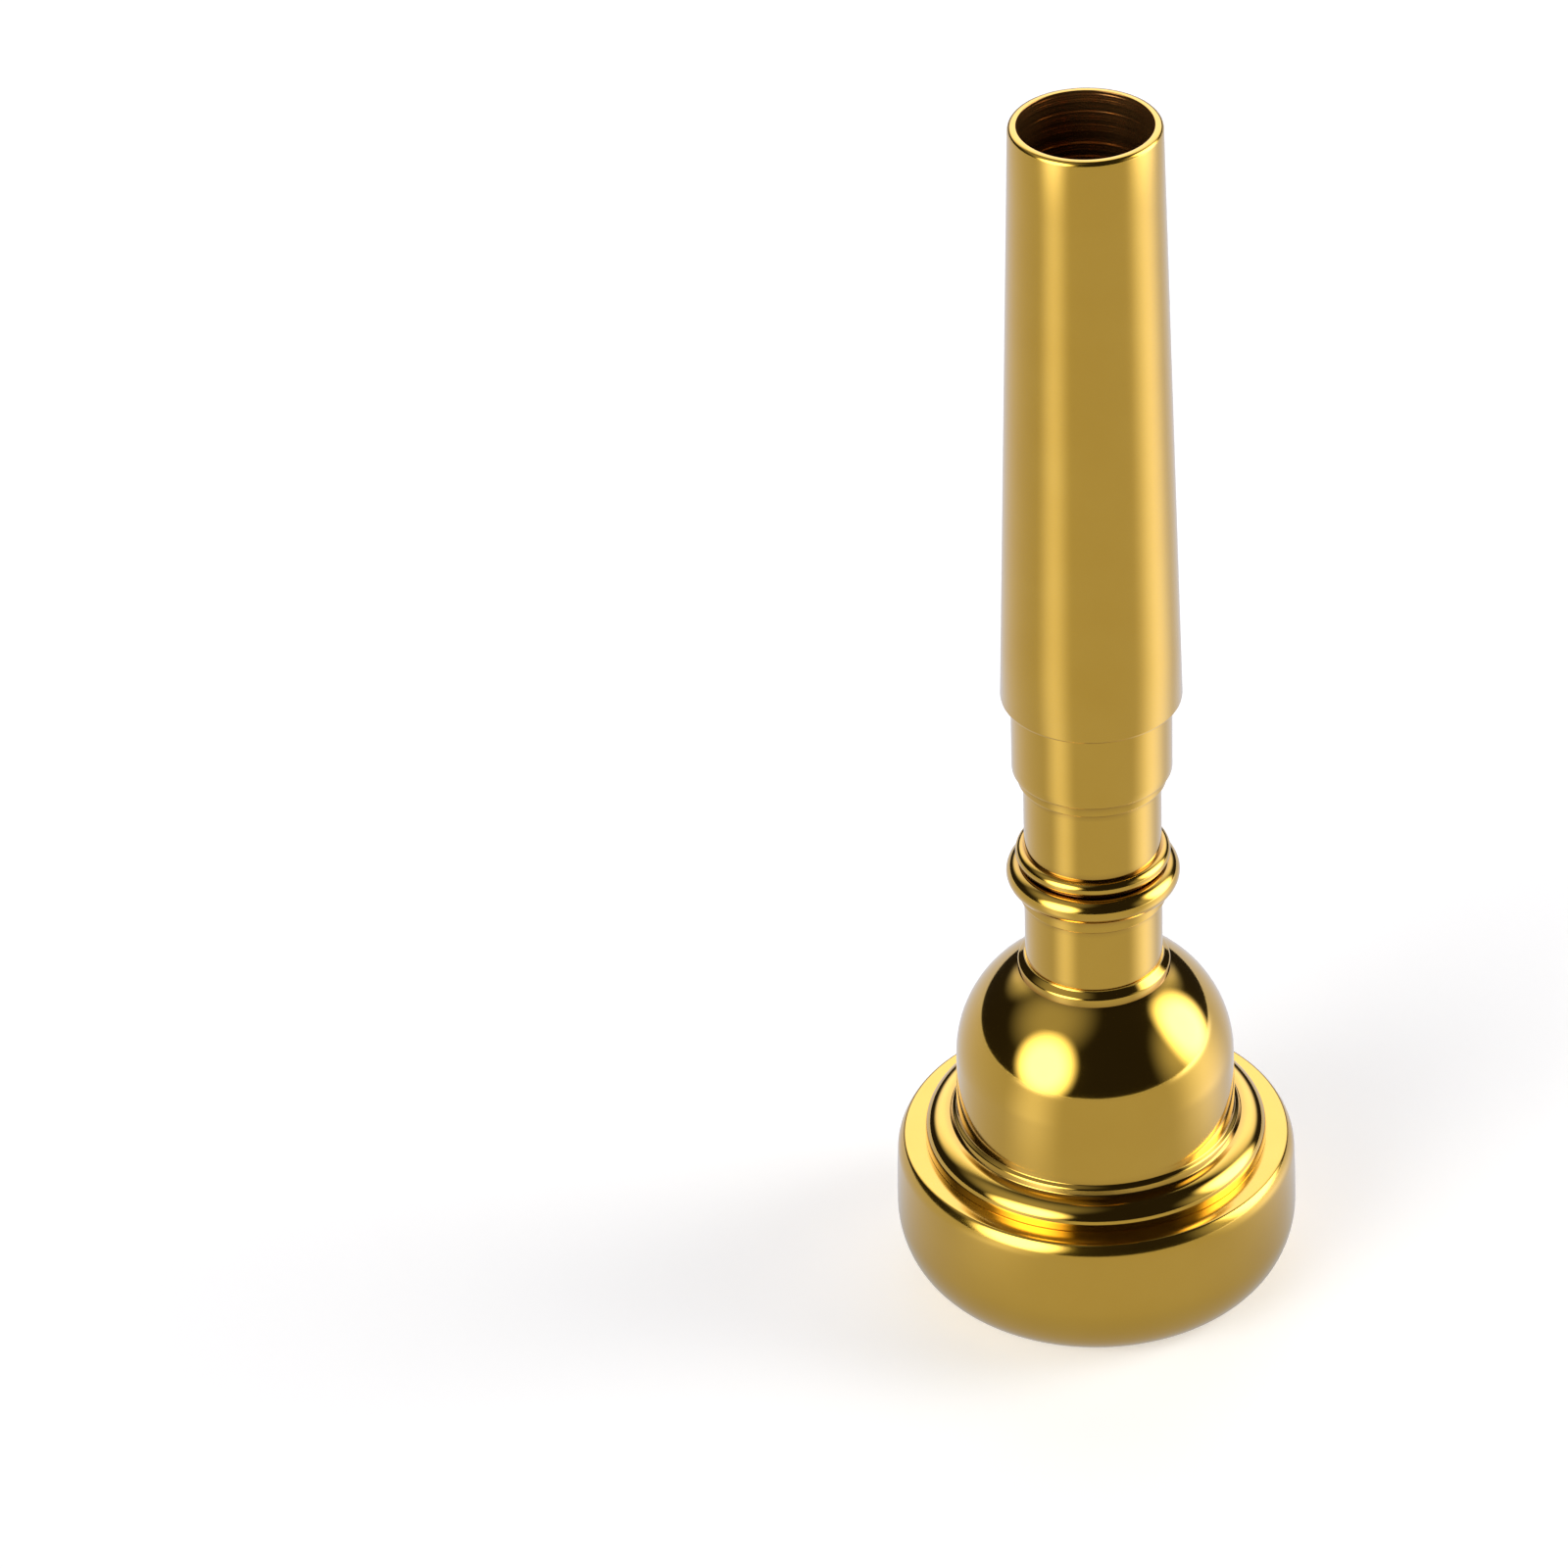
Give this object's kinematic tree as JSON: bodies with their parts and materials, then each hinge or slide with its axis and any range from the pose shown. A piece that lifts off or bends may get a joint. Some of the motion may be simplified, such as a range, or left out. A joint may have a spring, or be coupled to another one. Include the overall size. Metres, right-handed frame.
{
  "type": "brass instrument mouthpiece",
  "caption": "Trumpet mouthpiece with a crowned rim, round cup, beaded neck and tapered shank; rim, cup, stem and sleeve come apart.",
  "frame": {"origin": "on the axis, in the plane that the rim's high point stands on", "axes": "+Z along the axis from the rim to the shank's end; X and Y are any two square directions, since every outside is turned"},
  "size_m": [0.0268, 0.0268, 0.0875],
  "materials": {
    "gold_brass": "polished gold plate over brass",
    "black_rubber": "smooth moulded rubber"
  },
  "bodies": {
    "rim": {"rim": "gold_brass"},
    "rim_seal": {"rim_seal": "black_rubber"},
    "cup": {"cup": "gold_brass"},
    "stem_seal": {"stem_seal": "black_rubber"},
    "stem": {"backbore": "gold_brass", "sleeve_seal": "black_rubber"},
    "sleeve": {"shank_sleeve": "gold_brass"}
  },
  "joints": [
    {"name": "cup_lift", "type": "slide", "parent": "rim", "child": "rim_seal", "axis": [0, 0, 1], "range_m": [0, 0.00375]},
    {"name": "cup_turn", "type": "hinge", "parent": "rim_seal", "child": "cup", "pos_m": [0, 0, 0], "axis": [0, 0, 1], "range_deg": [0, 1801]},
    {"name": "stem_lift", "type": "slide", "parent": "cup", "child": "stem_seal", "axis": [0, 0, 1], "range_m": [0, 0.003]},
    {"name": "stem_turn", "type": "hinge", "parent": "stem_seal", "child": "stem", "pos_m": [0, 0, 0], "axis": [0, 0, 1], "range_deg": [0, 1441]},
    {"name": "sleeve_slide", "type": "slide", "parent": "stem", "child": "sleeve", "axis": [0, 0, 1], "range_m": [0, 0.024]}
  ],
  "couplings": [
    {"joint": "cup_turn", "follows": "cup_lift", "rad_per_m": 8377.6},
    {"joint": "stem_turn", "follows": "stem_lift", "rad_per_m": 8377.6}
  ]
}
